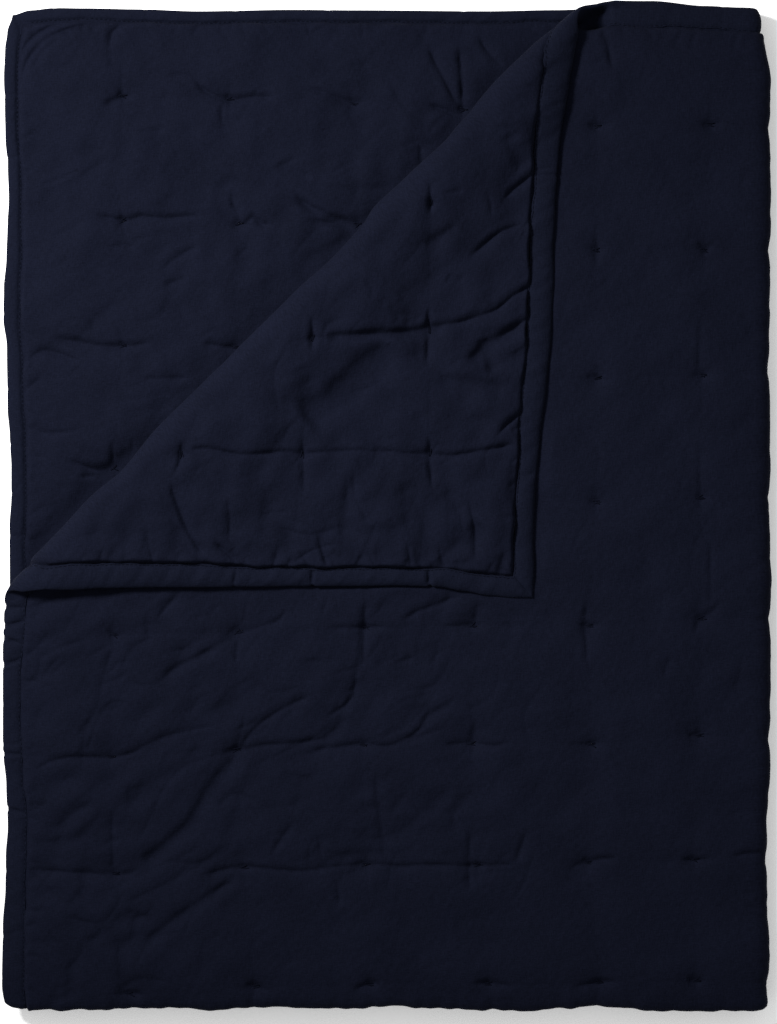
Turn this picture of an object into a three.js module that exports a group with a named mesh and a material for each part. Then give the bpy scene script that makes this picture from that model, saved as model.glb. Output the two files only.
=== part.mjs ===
import * as THREE from 'three';

// A tufted cotton bedspread, folded in half twice, with the free corner of its top layer turned back.
// Millimetres, +Z up. On the flat cloth u runs across from the left side of the upper layers, v runs down
// from the head edge, and w stands off the middle of the thickness, towards the face cloth.

// The bedspread laid flat
const FLAT_WIDTH = 1500;
const FLAT_LENGTH = 2000;

// Filling and layers
const LOFT = 9;
const LAYER_PITCH = 10;

// Tufts: runs of columns in from each side edge, and of rows in from the head and the foot edge
const COLUMN_RUNS = [
  { first: 107, pitch: 124, count: 3 },
  { first: 467, pitch: 111.5, count: 3 },
];
const HEAD_ROW_RUNS = [{ first: 121, pitch: 122.6, count: 8 }];
const FOOT_ROW_RUNS = [
  { first: 88, pitch: 123, count: 4 },
  { first: 568, pitch: 111, count: 4 },
];
const PIT_RADIUS = 26;
const PIT_DEPTH = 1.9;
const ROW_CREASE = 0.9;
const COLUMN_CREASE = 0.5;

// Bound edge: a strip folded round the quilt's thin tongue and sewn through it
const BINDING_WIDTH = 20;
const TONGUE_HALF = 0.8;
const TONGUE_SETBACK = 4;
const GATHER_WIDTH = 40;
const GATHER_LINE = 34;
const MITRE_GAP = 0.25;
// The strip's section: how far in from the outer edge, and how far off the middle of the thickness
const BINDING_SECTION = [
  { inset: BINDING_WIDTH, off: 2.4 },
  { inset: 9, off: 3.4 },
  { inset: 0.5, off: 1.2 },
  { inset: 0.5, off: -1.2 },
  { inset: 9, off: -3.4 },
  { inset: BINDING_WIDTH, off: -2.4 },
  { inset: BINDING_WIDTH, off: -1.25 },
  { inset: 3, off: -1.3 },
  { inset: 3, off: 1.3 },
  { inset: BINDING_WIDTH, off: 1.25 },
];

// Folds: the first doubles the length, the second doubles the width
const BOTTOM_FOLD = { middle: 1000, radius: LAYER_PITCH / 2, steps: 4 };
const RIGHT_FOLD = { middle: 753, radius: LAYER_PITCH, steps: 6 };
for (const fold of [BOTTOM_FOLD, RIGHT_FOLD]) {
  fold.start = fold.middle - (Math.PI * fold.radius) / 2;
}
const STACK_MIDDLE = 1.5 * LAYER_PITCH + LOFT / 2;

// Turned-back corner: it rolls over the line u + v = level, loosely at its head end, and slips a little
const CORNER = {
  level: 602,
  leftRadius: 7,
  headRadius: 12,
  steps: 6,
  shrink: 0.925,
  slip: 0.11,
  settleReach: 150,
  bow: 10,
  bowDepth: 250,
  snap: 0.6,
};
CORNER.step = (Math.PI * CORNER.headRadius) / CORNER.steps;
CORNER.farthest = CORNER.level / Math.SQRT2;

// How the edges of the folded stack sink: each side's share of the height, fading inwards
const SINK = {
  left: { share: 0.25, reach: 90 },
  head: { share: 0.25, reach: 90 },
  right: { share: 0.15, reach: 70 },
  foot: { share: 0.2, reach: 50 },
};

// How the folded outline strays: at a place along the side, how far it stands out
const OUTLINE_REACH = 100;
const LEFT_OUTLINE = [
  { at: 0, out: -7 },
  { at: 35, out: 0 },
  { at: 65, out: 3 },
  { at: 100, out: 3 },
  { at: 190, out: -3 },
  { at: 310, out: 3 },
  { at: 430, out: -3 },
  { at: 500, out: -5 },
  { at: 580, out: -3 },
  { at: 640, out: 5 },
  { at: 740, out: 3 },
  { at: 815, out: -4 },
  { at: 870, out: 0 },
  { at: 980, out: 4 },
  { at: 1005, out: 0 },
];
const HEAD_OUTLINE = [
  { at: 0, out: -9 },
  { at: 45, out: -3 },
  { at: 130, out: -3 },
  { at: 190, out: -5 },
  { at: 480, out: -5 },
  { at: 575, out: -2 },
  { at: 610, out: 5 },
  { at: 645, out: 5 },
  { at: 700, out: 0 },
  { at: 760, out: -4 },
];
const RIGHT_OUTLINE = [
  { at: 0, out: -7 },
  { at: 28, out: -5 },
  { at: 75, out: 5 },
  { at: 110, out: 4 },
  { at: 650, out: 4 },
  { at: 840, out: 0 },
  { at: 1005, out: 1 },
];
const FOOT_OUTLINE = [
  { at: 0, out: -7 },
  { at: 55, out: 0 },
  { at: 130, out: -2 },
  { at: 280, out: -3 },
  { at: 390, out: -4 },
  { at: 450, out: -2 },
  { at: 520, out: 1 },
  { at: 560, out: -2 },
  { at: 610, out: -3 },
  { at: 690, out: 1 },
  { at: 760, out: -5 },
];
const SCALLOP_DEPTH = 3;

const COTTON = { color: 0x191c2b, roughness: 0.95, metalness: 0 };
const BINDING_COTTON = { color: 0x1b1e2d, roughness: 0.9, metalness: 0 };

// Small helpers
const { clamp, lerp, smoothstep } = THREE.MathUtils;

const placesIn = (runs) =>
  runs.flatMap(({ first, pitch, count }) => Array.from({ length: count }, (_, k) => first + k * pitch));

const nearestGap = (at, places) => Math.min(...places.map((place) => Math.abs(at - place)));

const bump = (gap, reach) => clamp(1 - gap / reach, 0, 1) ** 2;

function alongTable(rows, at) {
  const next = rows.findIndex((row) => row.at > at);
  if (next === 0) return rows[0].out;
  if (next < 0) return rows.at(-1).out;
  const [a, b] = [rows[next - 1], rows[next]];
  return lerp(a.out, b.out, smoothstep(at, a.at, b.at));
}

// Where the tufts stand
const nearColumns = placesIn(COLUMN_RUNS);
const farColumns = nearColumns.map((column) => FLAT_WIDTH - column).reverse();
const columns = [...nearColumns, ...farColumns];
const headRows = placesIn(HEAD_ROW_RUNS);
const footRows = placesIn(FOOT_ROW_RUNS).map((row) => FLAT_LENGTH - row).reverse();
const rows = [...headRows, ...footRows];

// Folding: cloth that runs along s and makes a half turn of the given radius from the fold's start on
function halfTurn(s, w, start, radius) {
  const angle = (s - start) / radius;
  if (angle <= 0) return { along: s - start, up: radius + w };
  if (angle >= Math.PI) return { along: start + Math.PI * radius - s, up: -radius - w };
  return { along: (radius + w) * Math.sin(angle), up: (radius + w) * Math.cos(angle) };
}

// The corner's roll is a run of flat facets, so that the quilt and its binding bend alike
function cornerRoll(across, w, radius) {
  const facet = Math.floor(across / CORNER.step);
  const from = halfTurn(facet * CORNER.step, -w, 0, radius);
  const to = halfTurn((facet + 1) * CORNER.step, -w, 0, radius);
  const share = across / CORNER.step - facet;
  return { along: lerp(from.along, to.along, share), up: lerp(from.up, to.up, share) };
}

function turnCorner(point, { u, v, w }) {
  const across = (CORNER.level - u - v) / Math.SQRT2;
  const share = (u - v + CORNER.level) / (2 * CORNER.level);
  const radius = lerp(CORNER.leftRadius, CORNER.headRadius, share);
  const roll = cornerRoll(across, w, radius);
  const past = Math.max(across - Math.PI * CORNER.headRadius, 0);
  const reach = roll.along + past * (1 - CORNER.shrink);
  const bow = CORNER.bow * Math.sin((Math.PI * past) / CORNER.farthest) * bump(v, CORNER.bowDepth);
  point.x += (across - reach - past * CORNER.slip) / Math.SQRT2 - bow;
  point.y -= (across - reach + past * CORNER.slip) / Math.SQRT2;
  point.z += radius - w - roll.up;
  point.z -= (2 * radius - LAYER_PITCH) * smoothstep(past, 0, CORNER.settleReach);
}

// Settling: the stack sinks towards its edges, and its outline strays
function settle(point) {
  const right = RIGHT_FOLD.radius + BOTTOM_FOLD.radius + LOFT / 2;
  const foot = BOTTOM_FOLD.radius + LOFT / 2;
  const inset = {
    left: point.x + RIGHT_FOLD.start,
    right: right - point.x,
    head: BOTTOM_FOLD.start - point.y,
    foot: point.y + foot,
  };
  for (const [side, { share, reach }] of Object.entries(SINK)) {
    point.z *= 1 - share * bump(inset[side], reach);
  }
  const fade = (side) => bump(inset[side], OUTLINE_REACH);
  const scallop = SCALLOP_DEPTH * bump(nearestGap(inset.head, headRows), PIT_RADIUS);
  point.x -= alongTable(LEFT_OUTLINE, inset.head) * fade('left');
  point.x += (alongTable(RIGHT_OUTLINE, inset.head) - scallop) * fade('right');
  point.y += alongTable(HEAD_OUTLINE, inset.left) * fade('head');
  point.y -= alongTable(FOOT_OUTLINE, inset.left) * fade('foot');
}

function foldedPoint(spot) {
  const bottom = halfTurn(spot.v, spot.w, BOTTOM_FOLD.start, BOTTOM_FOLD.radius);
  const right = halfTurn(spot.u, bottom.up, RIGHT_FOLD.start, RIGHT_FOLD.radius);
  const point = new THREE.Vector3(right.along, -bottom.along, STACK_MIDDLE + right.up);
  if (spot.u + spot.v < CORNER.level) turnCorner(point, spot);
  settle(point);
  return point;
}

// Lines of the flat cloth that carry its points: the seam, the tufts and the folds
function foldLines({ start, radius, steps }) {
  return Array.from({ length: steps + 1 }, (_, k) => start + (k * Math.PI * radius) / steps);
}

const pitLines = (places) => places.flatMap((place) => [place - PIT_RADIUS, place, place + PIT_RADIUS]);

function middleLines(places) {
  return places.slice(1).map((place, k) => (place + places[k]) / 2);
}

function clothLines(span, fold, nearTufts, farTufts) {
  const bends = foldLines(fold);
  const edge = [TONGUE_SETBACK, BINDING_WIDTH, GATHER_LINE];
  const farEdge = edge.map((inset) => span - inset).reverse();
  const farStops = [bends.at(-1), ...farTufts, farEdge[0]];
  const free = [...edge, ...pitLines(nearTufts), ...farTufts, ...middleLines(farStops), ...farEdge];
  const kept = free.filter((line) => nearestGap(line, bends) > fold.radius);
  return [...kept, ...bends].sort((a, b) => a - b);
}

const uLines = clothLines(FLAT_WIDTH, RIGHT_FOLD, nearColumns, farColumns);
const vLines = clothLines(FLAT_LENGTH, BOTTOM_FOLD, headRows, footRows);

// The quilt's half thickness: full between the tufts, drawn in at them and flat in the seam
function halfThickness(u, v) {
  const inset = Math.min(u, FLAT_WIDTH - u, v, FLAT_LENGTH - v);
  const rise = Math.sin((Math.PI / 2) * clamp((inset - BINDING_WIDTH) / GATHER_WIDTH, 0, 1));
  const acrossColumn = bump(nearestGap(u, columns), PIT_RADIUS);
  const acrossRow = bump(nearestGap(v, rows), PIT_RADIUS);
  const columnCrease = u < RIGHT_FOLD.middle ? COLUMN_CREASE : 0;
  const drawnIn = ROW_CREASE * acrossRow + columnCrease * acrossColumn + PIT_DEPTH * acrossRow * acrossColumn;
  return lerp(TONGUE_HALF, LOFT / 2 - drawnIn, rise);
}

function quiltCloth() {
  const spots = [];
  for (const side of [1, -1]) {
    for (const v of vLines) {
      for (const u of uLines) spots.push({ u, v, w: side * halfThickness(u, v) });
    }
  }
  const [across, down] = [uLines.length, vLines.length];
  const at = (layer, i, j) => (layer * down + j) * across + i;
  const faces = [];
  const quad = (a, b, c, d) => faces.push([a, b, d], [b, c, d]);
  for (let j = 1; j < down; j++) {
    for (let i = 1; i < across; i++) {
      quad(at(0, i - 1, j - 1), at(0, i - 1, j), at(0, i, j), at(0, i, j - 1));
      quad(at(1, i - 1, j - 1), at(1, i, j - 1), at(1, i, j), at(1, i - 1, j));
    }
  }
  for (let j = 1; j < down; j++) {
    quad(at(0, 0, j), at(0, 0, j - 1), at(1, 0, j - 1), at(1, 0, j));
    quad(at(0, across - 1, j - 1), at(0, across - 1, j), at(1, across - 1, j), at(1, across - 1, j - 1));
  }
  for (let i = 1; i < across; i++) {
    quad(at(0, i - 1, 0), at(0, i, 0), at(1, i, 0), at(1, i - 1, 0));
    quad(at(0, i, down - 1), at(0, i - 1, down - 1), at(1, i - 1, down - 1), at(1, i, down - 1));
  }
  return { spots, faces };
}

// One binding strip: its section swept along a side of the flat cloth, cut to a mitre at both ends
function bindingCloth(lines, span, spotAt) {
  const inner = lines.filter((line) => line >= GATHER_LINE && line <= span - GATHER_LINE);
  const stops = (inset) => [inset + MITRE_GAP, ...inner, span - inset - MITRE_GAP];
  const count = inner.length + 2;
  const ring = BINDING_SECTION.length;
  const spots = [];
  for (let k = 0; k < count; k++) {
    for (const { inset, off } of BINDING_SECTION) spots.push(spotAt(stops(inset)[k], inset, off));
  }
  const faces = [];
  for (let k = 1; k < count; k++) {
    for (let n = 0; n < ring; n++) {
      const next = (n + 1) % ring;
      const [a, b] = [(k - 1) * ring + n, (k - 1) * ring + next];
      const [c, d] = [k * ring + next, k * ring + n];
      faces.push([a, b, c], [a, c, d]);
    }
  }
  const outline = BINDING_SECTION.map(({ inset, off }) => new THREE.Vector2(inset, off));
  const last = (count - 1) * ring;
  for (const [a, b, c] of THREE.ShapeUtils.triangulateShape(outline, [])) {
    faces.push([a, c, b], [last + a, last + b, last + c]);
  }
  return { spots, faces };
}

// Splits the triangles that cross the line u + v = level, so that the cloth can bend there
function scoreDiagonal({ spots, faces }, level) {
  const side = (k) => {
    const gap = spots[k].u + spots[k].v - level;
    return Math.abs(gap) < CORNER.snap ? 0 : gap;
  };
  const cuts = new Map();
  const cutBetween = (a, b) => {
    const [low, high] = [Math.min(a, b), Math.max(a, b)];
    const key = `${low} ${high}`;
    if (!cuts.has(key)) {
      const share = side(low) / (side(low) - side(high));
      const between = (name) => lerp(spots[low][name], spots[high][name], share);
      spots.push({ u: between('u'), v: between('v'), w: between('w') });
      cuts.set(key, spots.length - 1);
    }
    return cuts.get(key);
  };
  const split = [];
  for (const face of faces) {
    const halves = [[], []];
    face.forEach((a, k) => {
      const b = face[(k + 1) % 3];
      if (side(a) <= 0) halves[0].push(a);
      if (side(a) >= 0) halves[1].push(a);
      if (side(a) * side(b) < 0) halves.forEach((half) => half.push(cutBetween(a, b)));
    });
    for (const half of halves) {
      for (let k = 2; k < half.length; k++) split.push([half[0], half[k - 1], half[k]]);
    }
  }
  return { spots, faces: split };
}

// From flat cloth to a folded piece
function foldedPiece(name, flat, cotton) {
  let cloth = flat;
  for (let k = 0; k <= CORNER.steps; k++) {
    cloth = scoreDiagonal(cloth, CORNER.level - Math.SQRT2 * k * CORNER.step);
  }
  const points = cloth.spots.map(foldedPoint);
  const volume = cloth.faces.reduce((sum, [a, b, c]) => {
    return sum + points[a].dot(new THREE.Vector3().crossVectors(points[b], points[c]));
  }, 0);
  const outward = volume > 0 ? cloth.faces : cloth.faces.map(([a, b, c]) => [a, c, b]);
  const geometry = new THREE.BufferGeometry().setFromPoints(points);
  geometry.setIndex(outward.flat());
  geometry.computeVertexNormals();
  const mesh = new THREE.Mesh(geometry, new THREE.MeshStandardMaterial(cotton));
  mesh.name = name;
  return mesh;
}

const bedspread = new THREE.Group();
bedspread.add(foldedPiece('quilt', quiltCloth(), COTTON));

const SIDES = [
  { name: 'binding_left', spotAt: (v, inset, w) => ({ u: inset, v, w }) },
  { name: 'binding_right', spotAt: (v, inset, w) => ({ u: FLAT_WIDTH - inset, v, w }) },
];
const ENDS = [
  { name: 'binding_head', spotAt: (u, inset, w) => ({ u, v: inset, w }) },
  { name: 'binding_foot', spotAt: (u, inset, w) => ({ u, v: FLAT_LENGTH - inset, w }) },
];
for (const { name, spotAt } of SIDES) {
  bedspread.add(foldedPiece(name, bindingCloth(vLines, FLAT_LENGTH, spotAt), BINDING_COTTON));
}
for (const { name, spotAt } of ENDS) {
  bedspread.add(foldedPiece(name, bindingCloth(uLines, FLAT_WIDTH, spotAt), BINDING_COTTON));
}

// The origin is under the middle of the folded stack, on the surface that it lies on
const middle = new THREE.Box3().setFromObject(bedspread).getCenter(new THREE.Vector3());
bedspread.position.set(-middle.x, -middle.y, 0);

export default bedspread;
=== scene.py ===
import bpy
import numpy as np
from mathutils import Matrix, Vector


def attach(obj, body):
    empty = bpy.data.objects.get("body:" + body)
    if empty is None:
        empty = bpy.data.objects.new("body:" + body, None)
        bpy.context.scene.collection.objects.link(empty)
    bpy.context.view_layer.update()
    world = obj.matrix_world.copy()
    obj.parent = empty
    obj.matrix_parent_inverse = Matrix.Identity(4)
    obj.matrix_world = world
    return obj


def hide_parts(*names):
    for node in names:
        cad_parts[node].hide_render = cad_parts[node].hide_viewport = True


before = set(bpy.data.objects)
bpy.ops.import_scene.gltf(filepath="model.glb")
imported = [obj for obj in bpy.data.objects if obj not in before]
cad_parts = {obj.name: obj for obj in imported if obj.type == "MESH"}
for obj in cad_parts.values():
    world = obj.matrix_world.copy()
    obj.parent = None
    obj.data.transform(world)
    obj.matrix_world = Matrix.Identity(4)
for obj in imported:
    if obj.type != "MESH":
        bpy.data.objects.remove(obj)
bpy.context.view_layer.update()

# A tufted cotton bedspread, folded in half twice, with the free corner of its top layer turned back.
# The cloth is worked out in millimetres: on the flat cloth u runs across from the left side of the upper
# layers, v runs down from the head edge, and w stands off the middle of the thickness towards the face.
# Places on the folded stack are as seen from above: right of its left edge, and down from its head.

MM = 0.001
# Where the two main folds start, in the row's frame
STACK_PLACE = (358.903, -493.167)

# The bedspread laid flat
FLAT_WIDTH = 1500
FLAT_LENGTH = 2000
LOFT = 9
LAYER_PITCH = 10
FACE = 1
BACK = -1

# Main folds: the middle, radius, start and end of each on the flat cloth. They are fuller than a round bend.
BOTTOM_FOLD = 1000
BOTTOM_RADIUS = LAYER_PITCH / 2
BOTTOM_START = BOTTOM_FOLD - np.pi * BOTTOM_RADIUS / 2
BOTTOM_END = BOTTOM_START + np.pi * BOTTOM_RADIUS
RIGHT_FOLD = 753
RIGHT_RADIUS = LAYER_PITCH
RIGHT_START = RIGHT_FOLD - np.pi * RIGHT_RADIUS / 2
RIGHT_END = RIGHT_START + np.pi * RIGHT_RADIUS
FOLD_POWER = 3.2
STACK_MIDDLE = 1.5 * LAYER_PITCH + LOFT / 2

# Turned-back corner. Its fold lies where u and v add up to the level, and opens from its left end on.
# Past it the cloth shrinks and slips aside, and settles on the layer below within so far at its two ends.
CORNER_LEVEL = 602
CORNER_LEFT_RADIUS = 7
CORNER_HEAD_RADIUS = 12
CORNER_SHRINK = 0.925
CORNER_SLIP = 0.11
CORNER_SETTLE = (185, 55)

# It is pressed down at its head end, bows in and dips along its right edge, and lifts by the fold's left end
CORNER_PRESS = 0.85
CORNER_PRESS_REACH = 110
CORNER_BOW = 10
CORNER_BOW_REACH = 250
CORNER_DIP = 3.4
CORNER_DIP_REACH = 150
CORNER_DIP_END = 430
CORNER_LIFT = 5
CORNER_LIFT_PLACE = 555
CORNER_LIFT_REACH = 150

# How far its fold swells out from its left to its head end, and how far its right and lower edges lie off
# the straight, by places along them
FOLD_SWELL = {0: 5, 0.11: 6, 0.17: 8, 0.21: 4, 0.28: 8.5, 0.35: 8, 0.5: 6, 0.56: 3.5, 0.61: 5, 0.64: 9.5,
              0.69: 7.5, 0.75: 5.5, 0.79: 9, 0.85: 11, 0.9: 10, 0.94: 8, 0.97: 6, 1: 5}
FLAP_RIGHT_SHIFT = {0: -2, 31: -2, 55: -4, 104: -4, 154: -2, 203: 1, 252: 2, 301: 0, 350: -5, 399: -8,
                    448: -10, 497: -8, 547: -6, 602: 0}
FLAP_LOW_SHIFT = {0: 0, 23: 0, 50: 2, 78: 6, 106: 10, 150: 11, 205: 10, 260: 9.5, 315: 8.5, 370: 7.5, 425: 7,
                  480: 6, 519: 4, 546: 4, 602: 2}
FLAP_SHIFT_REACH = 160

# The layer below shows its back from about here down the flat cloth
INNER_START = 1300

# Mouth: a hollow in the head edge beside the turned-back corner, as a share of the height, and the edge's lip
MOUTH_START = 574
MOUTH_END = 606
MOUTH_REACH = 24
MOUTH_SHARE = 0.44
LIP_PLACE = 600
LIP_WIDTH = 18
LIP_HEIGHT = 6

# Tufts: a grid on the flat cloth. Those that show are set off it as far as they are seen, by row and column.
NEAR_COLUMNS = [107, 231, 355, 467, 578.5, 690]
COLUMNS = np.array(NEAR_COLUMNS + [FLAT_WIDTH - column for column in reversed(NEAR_COLUMNS)])
HEAD_ROWS = [121 + 122.6 * k for k in range(8)]
FOOT_ROWS = [88 + 123 * k for k in range(4)] + [568 + 111 * k for k in range(4)]
ROWS = np.array(HEAD_ROWS + [FLAT_LENGTH - row for row in reversed(FOOT_ROWS)])
SHOWN_TUFTS = {
    0: {0: (33, 9), 1: (28, 22), 2: (26, 33), 4: (11, -1), 5: (12, -3)},
    1: {0: (30, 30), 1: (18, 29), 4: (10, 0), 5: (6, 0)},
    2: {0: (28, 41), 4: (11, 5), 5: (4, 2)},
    3: {4: (10, 6), 5: (2, 2)},
    4: {0: (0, 16), 1: (0, 13), 2: (4, 9), 3: (-1, 7), 4: (3, 7), 5: (3, 0)},
    5: {0: (-2, 15), 1: (-1, 8), 2: (1, 3), 3: (-3, 2), 4: (6, 3), 5: (1, -6)},
    6: {0: (2, 9), 1: (6, 3), 2: (4, 0), 3: (3, 0), 4: (2, -2), 5: (-4, -5)},
    7: {0: (16, 7), 1: (17, 1), 2: (8, -2), 3: (14, -4), 4: (14, -3), 5: (-2, -8)},
    12: {0: (0, -4)},
    13: {0: (9, -4), 1: (-3, -6)},
    14: {0: (8, -2), 1: (0, -5), 2: (-4, -6)},
    15: {0: (8, 0), 1: (-9, -3), 2: (-9, -8), 3: (-11, -14)},
}
TUFT_REACH = 62

# Each tuft has a pit in a wider dent, and creases that run out of it, by side
PIT_DEPTH = {FACE: 1.3, BACK: 3.2}
PIT_CREASING = {FACE: 0.48, BACK: 1}
DENT_DEPTH = {FACE: 2, BACK: 1}

# Hollows that come closer than the first height to the middle of the cloth flatten out towards the second
FREE_DEPTH = 2.4
LEAST = -1.5

# Bound edges: how far in from each its seams lie on both sides, by places along the flat edge
BINDING_WIDTH = 20
CLOTH_INSET = 9
SEAM_HALF = 0.8
SEAMS = {
    ("left", FACE): {0: 20, 600: 20, 680: 16.5, 760: 17, 810: 19.5, 900: 20, FLAT_LENGTH: 20},
    ("left", BACK): {0: 19.5, 54: 20, 108: 19, 296: 19.5, 376: 24, 510: 25.5, 602: 24, 750: 20, 1400: 17,
                     1740: 15.5, 1800: 13.5, 1900: 12.5, FLAT_LENGTH: 14},
    ("right", FACE): {0: 20, FLAT_LENGTH: 20},
    ("right", BACK): {0: 20, FLAT_LENGTH: 20},
    ("head", FACE): {0: 20, 560: 20, 640: 23, 760: 23, 900: 20, FLAT_WIDTH: 20},
    ("head", BACK): {0: 22, 62: 22, 100: 21.5, 190: 26, 280: 28.5, 385: 31.5, 412: 32, 439: 35, 465: 36,
                     514: 36, 525: 32.5, 534: 28.8, 543: 25.5, 551: 22.5, 558: 20.5, 602: 18,
                     FLAT_WIDTH: 20},
    ("foot", FACE): {0: 20, FLAT_WIDTH: 20},
    ("foot", BACK): {0: 14, 60: 13, 620: 13, 760: 20, FLAT_WIDTH: 20},
}

# How the edges of the folded stack sink: share of the height, and how far in it fades
SINK = {"left": (0.25, 90), "head": (0.25, 90), "right": (0.02, 60), "foot": (0.15, 45)}

# How the folded outline strays: places along a side, and how far it stands out there
OUTLINE_REACH = 100
SCALLOP_DEPTH = 2
SCALLOP_REACH = 26
LEFT_OUTLINE = {0: -3, 20: 2, 38: 4, 68: 5, 98: 4, 128: 3.5, 160: 1, 190: 0, 220: 1.5, 250: 2.5, 280: 5,
                310: 5.5, 340: 2, 400: 1.3, 430: -1, 460: -2.5, 490: -2.5, 520: -0.7, 580: -1, 608: 3.8,
                640: 5, 740: 5, 780: 1.5, 820: 0, 850: 2, 880: 2.3, 920: 5, 980: 6, 1005: 3}
HEAD_OUTLINE = {0: -5, 20: -0.5, 45: 1.5, 75: 1, 130: 0, 190: -2, 285: -0.5, 350: -1, 480: -2, 550: -0.8,
                580: 0, 610: 7, 645: 7, 700: 2, 735: 0.5, 760: 0}
RIGHT_OUTLINE = {0: -2, 28: 0, 75: 6, 300: 6, 420: 6.5, 650: 6.5, 740: 5.5, 840: 3, 915: 4.5, 1005: 5}
FOOT_OUTLINE = {0: 0, 9: 2, 19: 4.5, 27: 1.5, 45: 2.5, 75: 1.5, 130: 0, 200: 0.5, 250: -2, 340: -0.5,
                390: -2.5, 450: 0, 520: 3, 560: -2, 585: -3.5, 610: -1, 690: 3, 735: 2, 760: 1}

# Main creases on the folded stack: how wide and how deep each is, then the places it runs through, across
# and down in turn. Those as wide as SOFT_FROM or wider are round hollows. The gains deepen them all.
SOFT_FROM = 4
TOP_GAIN = 1.5
INNER_GAIN = 2.3
FLAP_GAIN = 1.9
INNER_CREASES = [
    (2.2, 1.6, 96, 98, 108, 92, 125, 88),
    (2.4, 1.9, 188, 73, 198, 83, 215, 91, 228, 92, 248, 89, 268, 90),
    (2, 0.8, 215, 98, 214, 115),
    (2.4, 1.9, 10, 70, 15, 45, 26, 29, 42, 19, 66, 13),
    (2.2, 1.5, 15, 76, 22, 52, 36, 34, 58, 22, 86, 14),
    (2.2, 1, 26, 60, 38, 42, 55, 30),
    (2.2, 1.3, 52, 27, 76, 19, 97, 13),
    (2, 1.2, 93, 15, 82, 22),
    (2.4, 2.1, 122, 12, 112, 17, 104, 25, 101, 38),
    (2.2, 0.4, 102, 34, 102, 48, 107, 62),
    (2.2, 0.9, 158, 69, 183, 67, 195, 79),
    (2.2, 1.6, 88, 207, 103, 211, 121, 213, 133, 209, 153, 211, 193, 208),
    (2.2, 1.4, 221, 215, 235, 219, 246, 209, 255, 217, 268, 217),
    (2, 0.9, 225, 183, 226, 198, 233, 208),
    (3, 1.1, 153, 263, 173, 248, 193, 238),
    (3, 0.8, 158, 278, 178, 270),
    (5, 0.9, 273, 158, 303, 170),
    (4, 1.9, 288, 188, 303, 200, 323, 209, 349, 218),
    (2.6, 1.4, 300, 212, 325, 216, 348, 220),
    (3, 1.9, 60, 452, 88, 463, 109, 461),
    (2.4, 1.2, 70, 470, 92, 468, 110, 463),
    (2, 0.7, 105, 433, 106, 456),
    (2.6, 1, 22, 423, 48, 426, 78, 422),
    (2.4, 1.6, 48, 330, 84, 337, 118, 340, 143, 335),
    (3, 2.4, 22, 352, 34, 344, 48, 345, 73, 355),
    (7, 1.6, 96, 472, 110, 462, 124, 448),
    (2.6, 0.8, 133, 371, 183, 371),
    (2.6, 1.3, 196, 336, 214, 339, 229, 341),
    (2.2, 1.5, 303, 80, 330, 90, 346, 96, 362, 93),
    (2.4, 1.5, 421, 38, 433, 63, 443, 83, 452, 100),
    (2.2, 1.5, 452, 38, 454, 63, 456, 98),
    (2.4, 1.4, 471, 26, 481, 43, 496, 58),
    (2.2, 1.8, 420, 96, 438, 103, 456, 110),
    (2.6, 1.2, 413, 138, 415, 158),
    (2.6, 0.7, 130, 125, 158, 123),
]
FLAP_CREASES = [
    (4.2, 2.9, 322, 331, 368, 328, 403, 326, 436, 323),
    (2.6, 2.2, 408, 323, 448, 317, 472, 310, 490, 303, 505, 290, 520, 282, 532, 276),
    (1.9, 1.7, 183, 443, 198, 442, 213, 444, 233, 448, 255, 447, 278, 445, 293, 446),
    (1.9, 1.2, 280, 446, 296, 447, 345, 444, 393, 446),
    (2, 1.9, 385, 446, 423, 448, 445, 449, 463, 446, 490, 441, 508, 437),
    (2, 1.5, 176, 432, 176, 452, 168, 468),
    (1.9, 2.3, 165, 476, 174, 503, 186, 530, 199, 548),
    (2.8, 1.1, 222, 490, 224, 512, 223, 535),
    (2.2, 2, 208, 535, 222, 546, 231, 557),
    (1.9, 1.7, 421, 302, 421, 330, 420, 360),
    (2, 1.5, 423, 430, 423, 455, 425, 484),
    (2, 1.5, 423, 176, 423, 210),
    (1.8, 0.9, 437, 190, 455, 186),
    (2.2, 1.3, 306, 308, 306, 330, 308, 348),
    (2.4, 1.2, 296, 430, 297, 455, 297, 490),
    (14, 3.8, 303, 406, 321, 393, 344, 375, 362, 357, 376, 343),
    (6, 1.9, 421, 240, 447, 222),
    (2, 2.2, 462, 252, 478, 238, 493, 226, 514, 219),
    (2.2, 2.4, 494, 196, 506, 184, 520, 173, 533, 163),
    (2.6, 2.1, 488, 335, 503, 323, 516, 315, 530, 307),
    (2.6, 2.2, 488, 431, 499, 418, 508, 411, 524, 399),
    (2, 1.2, 513, 374, 526, 365),
    (2.2, 1.6, 503, 561, 510, 551, 520, 540),
    (2, 2, 311, 528, 316, 545, 321, 560),
    (2.6, 1.5, 461, 494, 467, 520, 468, 554),
    (6, 2.2, 474, 336, 480, 348, 485, 364),
    (6, 2.5, 514, 321, 497, 329, 482, 338, 462, 355),
    (7, 1.3, 433, 373, 465, 376, 498, 383),
    (8, 1.5, 500, 135, 513, 160),
    (7, 1.2, 505, 460, 509, 500),
    (7, 1.5, 344, 470, 340, 500, 336, 528),
    (8, 1.2, 398, 478, 402, 520),
    (8, 1.1, 262, 480, 258, 530),
    (2.4, 1.2, 400, 535, 404, 560),
    (2.2, 1.2, 432, 540, 436, 560),
    (3, 1, 140, 520, 148, 556),
]
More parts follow.
